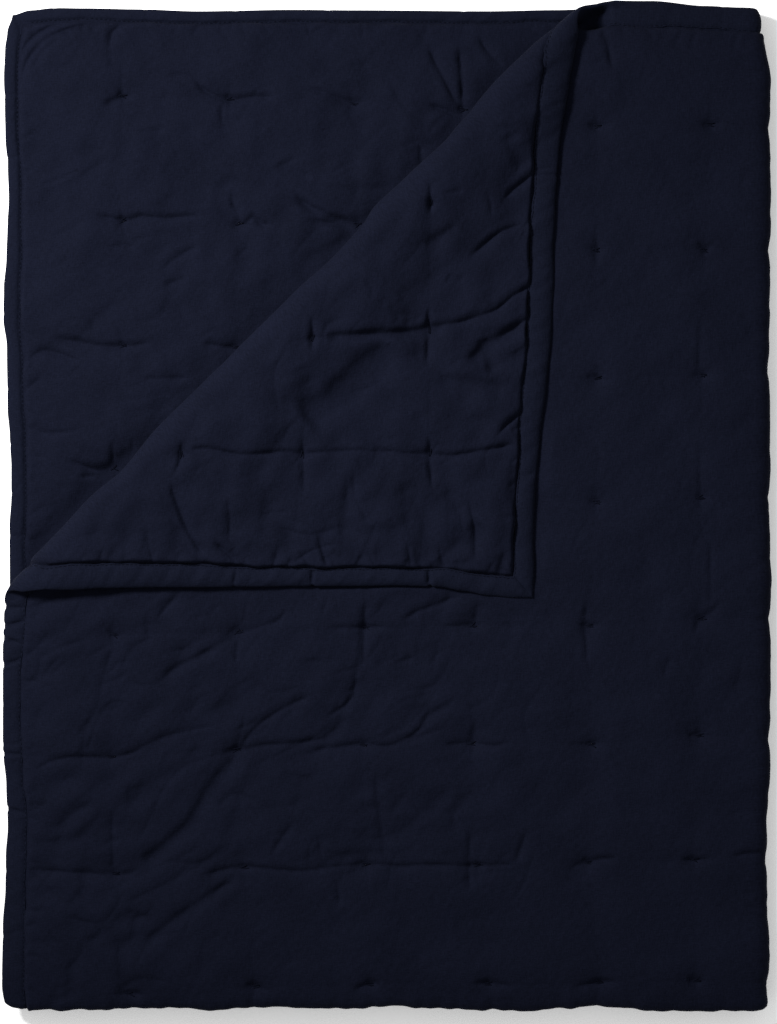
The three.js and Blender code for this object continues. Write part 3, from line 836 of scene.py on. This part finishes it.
LOWER_LINES = lines(COVERED[1], (BOTTOM_START, DOWN_STEP), (FACE_END[1], 1.6))
FLAP_LINES = lines(CLOTH_INSET, (SEAM_END, SEAM_STEP), (CORNER_END, FLAP_STEP))
PATCHES = {
    "face_cloth_left": Patch(FACE, lines(CLOTH_INSET, (PARTING, LEFT_STEP)), LOWER_LINES, everywhere),
    "face_cloth_right": Patch(
        FACE,
        lines(PARTING, (COVERED[0], RIGHT_STEP), (RIGHT_START, RIGHT_STEP), (FACE_END[0], 2)),
        LOWER_LINES, everywhere),
    "face_cloth_upper": Patch(
        FACE,
        lines(COVERED[0], (RIGHT_START, RIGHT_STEP), (FACE_END[0], 2)),
        lines(CLOTH_INSET, (COVERED[1], UPPER_STEP)), everywhere),
    "face_cloth_under": Patch(
        FACE,
        lines(CLOTH_INSET, (COVERED[0], UNDER_STEP), (RIGHT_START, UNDER_STEP), (FACE_END[0], 4),
              (U_END, UNDER_STEP)),
        lines(CLOTH_INSET, (COVERED[1], UNDER_STEP), (BOTTOM_START, UNDER_STEP), (FACE_END[1], 2),
              (V_END, UNDER_STEP)),
        is_under),
    "back_cloth_flap": Patch(BACK, FLAP_LINES, FLAP_LINES, is_flap),
    "back_cloth_inner": Patch(
        BACK,
        lines(CLOTH_INSET, (INNER_SEAM_END, SEAM_STEP), (CORNER_END, INNER_STEP)),
        lines(FLAT_LENGTH - CORNER_END, (FLAT_LENGTH - INNER_SEAM_END, INNER_STEP), (V_END, SEAM_STEP)),
        is_inner),
    "back_cloth_hidden": Patch(
        BACK,
        lines(CLOTH_INSET, (CORNER_END, HIDDEN_STEP), (RIGHT_START, HIDDEN_STEP), (RIGHT_END, 4),
              (U_END, HIDDEN_STEP)),
        lines(CLOTH_INSET, (CORNER_END, HIDDEN_STEP), (BOTTOM_START, HIDDEN_STEP), (BOTTOM_END, 2),
              (FLAT_LENGTH - CORNER_END, HIDDEN_STEP), (V_END, HIDDEN_STEP)),
        is_hidden),
}

# Bindings: a strip round the edge, from its seam on the face to its seam on the back.
# The section gives how far in from the edge the strip is if its seam lies 20 in, and how far off the middle.
BINDING_SECTION = np.array([
    (20.6, 0.3), (20.5, 1.1), (20, 1.9), (19.5, 1.9), (19, 1.7), (18.4, 2), (17, 2.7), (15, 3.15),
    (12.5, 3.45), (9.5, 3.6), (6.8, 3.4), (4.4, 2.9), (2.4, 2.2), (1, 1.4), (0.25, 0.7), (0, 0)])
STITCH_INSET = 19
NEAR_STEP = 2.4
FAR_STEP = 7
TUCK_WIDTH = 2.6
TUCK_STEPS = np.array([-4.5, -3, -1.8, -0.8, 0, 0.8, 1.8, 3, 4.5])

# Each bound edge: its length, the edges it meets at its two ends, how far along it shows, and the tucks there
BINDINGS = {
    "left": (FLAT_LENGTH, ("head", "foot"), ((0, 1010), (1380, FLAT_LENGTH)),
             {117: 2, 250: 1.5, 337: 0.8, 600: 1.5, 619: 2.2, 631: 1.9, 658: 2, 747: 1.5, 802: 1.5}),
    "right": (FLAT_LENGTH, ("head", "foot"), (), {}),
    "head": (FLAT_WIDTH, ("left", "right"), ((0, 770),), {410: 0.8, 505: 0.8}),
    "foot": (FLAT_WIDTH, ("left", "right"), ((0, 620),), {}),
}


def seam_inset(edge, side, along):
    """How far in from a bound edge its seam lies on a side."""
    on_face, on_back = (along_table(SEAMS[edge, one], along) for one in (FACE, BACK))
    return np.where(side == FACE, on_face, on_back)


class Binding:
    def __init__(self, number, edge):
        self.edge = edge
        self.span, self.meets, self.shows, shown_tucks = BINDINGS[edge]
        self.seed = 70 + 5 * number
        rng = np.random.default_rng(self.seed)
        strewn = np.cumsum(rng.uniform(40, 150, 48))
        strewn = strewn[strewn < self.span - 60]
        self.tucks = [(at, depth, rng.normal(0, 0.25)) for at, depth in shown_tucks.items()]
        self.tucks += [(at, rng.uniform(0.15, 0.5), rng.normal(0, 0.6)) for at in strewn]

    def shape(self, along, inset, side):
        """How far in from the edge the strip really is, and how far off the middle."""
        from_end = np.minimum(along, self.span - along)
        ends = smooth((from_end - 24) / 30)
        mitre = np.exp(-np.maximum(from_end - inset, 0) / 1.6) * smooth((28 - from_end) / 4)
        wave = ends * random_waves(along, 0, 45, 140, self.seed, 12)
        ripple = ends * random_waves(along + 0.6 * inset, side * 40, 12, 32, self.seed + 1, 12)
        scallop = random_waves(along, side * 17, 7, 14, self.seed + 2, 8)
        tuck = sum(depth * hill(along - at - lean * inset, TUCK_WIDTH) for at, depth, lean in self.tucks)
        half = np.interp(inset, BINDING_SECTION[::-1, 0], BINDING_SECTION[::-1, 1])
        belly = smooth(inset / 6) * smooth((BINDING_WIDTH + 1 - inset) / 4)
        _, down = EDGES[self.edge](along, inset)
        thin = smooth((down - INNER_START) / 100) * (side == BACK) * smooth((inset - 16) / 2)
        half = half * (1 - 0.55 * thin)
        half = half * (1 + 0.07 * wave - 0.45 * tuck * belly - 0.7 * mitre * belly) + 0.25 * ripple * belly
        inset = inset * (1 + 0.04 * wave) + 1.1 * tuck * (1 - inset / 21) + 0.25 * scallop * (inset > 18)
        return inset * seam_inset(self.edge, side, along) / BINDING_WIDTH, side * half

    def stations(self):
        far = lines(0, (self.span, FAR_STEP))
        near = [lines(start, (end, NEAR_STEP)) for start, end in self.shows]
        tucks = [at + TUCK_STEPS for at, depth, lean in self.tucks if any(a < at < b for a, b in self.shows)]
        return np.unique(np.concatenate([far] + near + tucks))

    def make(self, material):
        insets = np.concatenate([BINDING_SECTION[:, 0], BINDING_SECTION[-2::-1, 0]])
        halves = np.concatenate([BINDING_SECTION[:, 1], -BINDING_SECTION[-2::-1, 1]])
        side = np.where(np.arange(len(insets)) < len(BINDING_SECTION), FACE, BACK)
        corner = 0 if self.edge in ("left", "head") else FLAT_WIDTH if self.edge == "right" else FLAT_LENGTH
        shares = (np.clip(insets, 0, BINDING_WIDTH) - 0.2) / BINDING_WIDTH
        mitres = [shares * seam_inset(edge, side, corner) for edge in self.meets]
        along = np.clip(self.stations()[:, None], mitres[0], self.span - mitres[1])
        inset, w = self.shape(along, np.broadcast_to(insets, along.shape), side)
        points = place(*EDGES[self.edge](along, inset), w).reshape(-1, 3)
        run = np.concatenate([[0], np.cumsum(np.hypot(np.diff(insets), np.diff(halves)))])
        flat = np.stack([along, np.broadcast_to(run, along.shape)], -1).reshape(-1, 2)
        quads = grid_quads(*along.shape, turned=self.edge in ("left", "foot"))
        strip = make_mesh(f"binding_{self.edge}_cloth", points, quads, flat, material)
        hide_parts(f"binding_{self.edge}")


# Sewing: short lengths of thread, each a thin tube of four sides
THREAD_RINGS = np.array([-1, -0.45, 0.45, 1])
THREAD_SIDES = np.array([0, 0.5, 1, 1.5]) * np.pi
STITCH_PITCH = 4.6
TIE_PLACES = (-1.1, 0, 1.1)

# Length, radius and lift of a seam stitch, and of a strand across a tuft
STITCH = (3.3, 0.3, 0.28)
TIE = (8, 0.48, 0.2)


def make_threads(name, u, v, w, way, side, kind, material):
    """Stitches centred on spots of the flat cloth, lying along their ways, with their ends drawn in."""
    length, radius, lift = kind
    out = THREAD_RINGS[None, :, None] * length / 2
    aside = radius * np.cos(THREAD_SIDES)[None, None, :]
    arch = lift * (1 - 2 * np.abs(THREAD_RINGS[None, :, None]) ** 3)
    rise = radius * np.sin(THREAD_SIDES)[None, None, :] + arch
    way_u, way_v = np.cos(way)[:, None, None], np.sin(way)[:, None, None]
    spot_u = u[:, None, None] + out * way_u - aside * way_v
    spot_v = v[:, None, None] + out * way_v + aside * way_u
    spot_w = w.reshape(len(u), -1, 1) + side[:, None, None] * rise
    points = place(*np.broadcast_arrays(spot_u, spot_v, spot_w)).reshape(-1, 3)
    flat = np.stack(np.meshgrid(THREAD_SIDES, THREAD_RINGS), -1)
    flat = np.broadcast_to(flat, (len(u), 4, 4, 2)).reshape(-1, 2)
    ring = np.arange(16).reshape(4, 4)
    around = np.roll(ring, -1, axis=1)
    tube = np.stack([ring[:-1], around[:-1], around[1:], ring[1:]], -1).reshape(-1, 4)
    tube = np.concatenate([tube, ring[:1, ::-1], ring[-1:]])
    quads = (np.arange(len(u))[:, None, None] * 16 + tube).reshape(-1, 4)
    make_mesh(name, points, quads, flat, material)


def make_seam_stitches(bindings, material):
    rows = []
    for binding in bindings:
        along = np.arange(BINDING_WIDTH + 4, binding.span - BINDING_WIDTH - 4, STITCH_PITCH)
        heading = np.pi / 2 if binding.span == FLAT_LENGTH else 0
        for side in (FACE, BACK):
            inset, w = binding.shape(along, np.full(len(along), STITCH_INSET), side)
            u, v = np.broadcast_arrays(*EDGES[binding.edge](along, inset))
            seen = is_flap(u, v) | is_inner(u, v) | (side == FACE)
            row = np.stack([u, v, w, np.full(len(u), heading), np.full(len(u), float(side))])
            rows.append(row[:, seen])
    u, v, w, way, side = np.concatenate(rows, axis=1)
    make_threads("seam_stitches", u, v, w, way, side, STITCH, material)


def make_tuft_ties(material):
    """Short strands across each tuft on both sides, lying in its pit. Their darker colour is painted shade
    for the pit.
    """
    rng = np.random.default_rng(91)
    out = THREAD_RINGS * TIE[0] / 2
    rows = []
    for tuft_u, tuft_v in TUFTS.reshape(-1, 2):
        for side in (FACE, BACK):
            cloth = next(patch for patch in PATCHES.values()
                         if patch.side == side and patch.shows(tuft_u, tuft_v))
            for aside in TIE_PLACES:
                way = rng.normal(0, 0.3)
                u, v = tuft_u + rng.normal(0, 0.8), tuft_v + aside
                heights = [cloth.height_at(u + step * np.cos(way), v + step * np.sin(way)) for step in out]
                rows.append((u, v, way, side, *(side * (height + 0.1) for height in heights)))
    u, v, way, side, *w = np.array(rows, float).T
    make_threads("tuft_ties", u, v, np.stack(w, -1), way, side, TIE, material)


# Materials

def set_inputs(node, values):
    """Gives each named input of a node its value, or joins it to the output given."""
    for name, value in values.items():
        if isinstance(value, bpy.types.NodeSocket):
            node.id_data.links.new(value, node.inputs[name])
        else:
            node.inputs[name].default_value = value


def cotton(name, colour, contrast, sheen):
    """Matte plain-woven cotton: fine uneven threads both ways, grain, and a faint cloudiness."""
    material = bpy.data.materials.new(name)
    material.use_nodes = True
    nodes = material.node_tree.nodes
    place_on_cloth = nodes.new("ShaderNodeTexCoord").outputs["UV"]

    def noise(scale, detail):
        stretch = nodes.new("ShaderNodeMapping")
        set_inputs(stretch, {"Vector": place_on_cloth, "Scale": scale})
        texture = nodes.new("ShaderNodeTexNoise")
        set_inputs(texture, {"Vector": stretch.outputs["Vector"], "Scale": 1, "Detail": detail})
        return texture.outputs["Fac"]

    def total(a, b, share):
        node = nodes.new("ShaderNodeMath")
        node.operation = "MULTIPLY_ADD"
        set_inputs(node, {0: b, 1: share, 2: a})
        return node.outputs[0]

    warp = noise((1100, 150, 1), 2)
    weft = noise((150, 1100, 1), 2)
    grain = noise((650, 650, 1), 2)
    cloud = noise((22, 22, 1), 3)
    crinkle = noise((170, 170, 1), 3)
    threads = total(warp, weft, 1)
    mixed = total(total(threads, grain, 1), cloud, 0.5)
    spread = nodes.new("ShaderNodeMapRange")
    set_inputs(spread, {"Value": mixed, "From Min": 1.25, "From Max": 2.25})
    ramp = nodes.new("ShaderNodeValToRGB")
    for stop, share in zip(ramp.color_ramp.elements, (1 - contrast, 1 + contrast)):
        stop.color = (*(np.array(colour) * share), 1)
    set_inputs(ramp, {"Fac": spread.outputs["Result"]})
    weave = nodes.new("ShaderNodeBump")
    set_inputs(weave, {"Height": total(threads, grain, 0.8), "Strength": 0.4, "Distance": 0.0005})
    creased = nodes.new("ShaderNodeBump")
    set_inputs(creased, {"Height": crinkle, "Strength": 0.35, "Distance": 0.0018})
    set_inputs(creased, {"Normal": weave.outputs["Normal"]})
    shader = nodes["Principled BSDF"]
    set_inputs(shader, {"Base Color": ramp.outputs["Color"], "Normal": creased.outputs["Normal"]})
    set_inputs(shader, {"Roughness": 0.85, "Specular IOR Level": 0.02})
    set_inputs(shader, {"Sheen Weight": sheen, "Sheen Roughness": 0.3, "Sheen Tint": (0.75, 0.78, 1, 1)})
    return material


quilt_cotton = cotton("quilt_cotton", (0.0030, 0.0037, 0.0085), contrast=0.32, sheen=0.03)
binding_cotton = cotton("binding_cotton", (0.0031, 0.0039, 0.0088), contrast=0.32, sheen=0.03)
# The seam thread is made darker than the cloth: painted shade for the shadowed grooves the stitches lie in.
thread_cotton_painted_shade = cotton("thread_cotton_painted_shade", (0.0014, 0.0018, 0.0042), contrast=0.3, sheen=0.01)
# The tuft ties are darker than the cloth: painted shade for the shadowed tuft pits they lie in.
tie_cotton_painted_shade = cotton("tie_cotton_painted_shade", (0.0022, 0.0027, 0.0062), contrast=0.3, sheen=0)

for name, patch in PATCHES.items():
    make_cloth(name, patch, quilt_cotton)
bindings = [Binding(number, edge) for number, edge in enumerate(BINDINGS)]
for binding in bindings:
    binding.make(binding_cotton)
make_seam_stitches(bindings, thread_cotton_painted_shade)
make_tuft_ties(tie_cotton_painted_shade)

# Floor, light and camera
scene = bpy.context.scene
scene.view_settings.view_transform = "Standard"

bpy.ops.mesh.primitive_plane_add(size=8, location=(0, 0, -0.0006))
floor = bpy.context.object
floor.name = "floor"
pale_floor = bpy.data.materials.new("pale_floor")
pale_floor.use_nodes = True
shader = pale_floor.node_tree.nodes["Principled BSDF"]
set_inputs(shader, {"Base Color": (0.96, 0.96, 0.96, 1), "Roughness": 0.9, "Specular IOR Level": 0.1})
set_inputs(shader, {"Emission Color": (1, 1, 1, 1), "Emission Strength": 0.18})
floor.data.materials.append(pale_floor)

LIGHT_PLACE = Vector((-1.25, 0.88, 1.28))
LIGHT_AIM = Vector((0.1, 0.01, 0))
light_data = bpy.data.lights.new("key", "AREA")
light_data.shape = "DISK"
light_data.size = 0.5
light_data.spread = np.radians(80)
light_data.energy = 18.2
light = bpy.data.objects.new("key", light_data)
light.location = LIGHT_PLACE
light.rotation_euler = (LIGHT_AIM - LIGHT_PLACE).to_track_quat("-Z", "Y").to_euler()
scene.collection.objects.link(light)

world = bpy.data.worlds.new("studio")
world.use_nodes = True
set_inputs(world.node_tree.nodes["Background"], {"Color": (1, 1, 1, 1), "Strength": 0.6})
scene.world = world

# The camera looks straight down. The frame holds FRAME_HEIGHT at the level of the top layers.
LENS = 100
SENSOR = 36
FRAME_HEIGHT = 1.0225
FRAME_LEVEL = 0.035
camera_data = bpy.data.cameras.new("camera")
camera_data.lens = LENS
camera_data.sensor_width = SENSOR
camera = bpy.data.objects.new("camera", camera_data)
camera.location = (0.003, -0.006, FRAME_HEIGHT * LENS / SENSOR + FRAME_LEVEL)
scene.collection.objects.link(camera)
scene.camera = camera
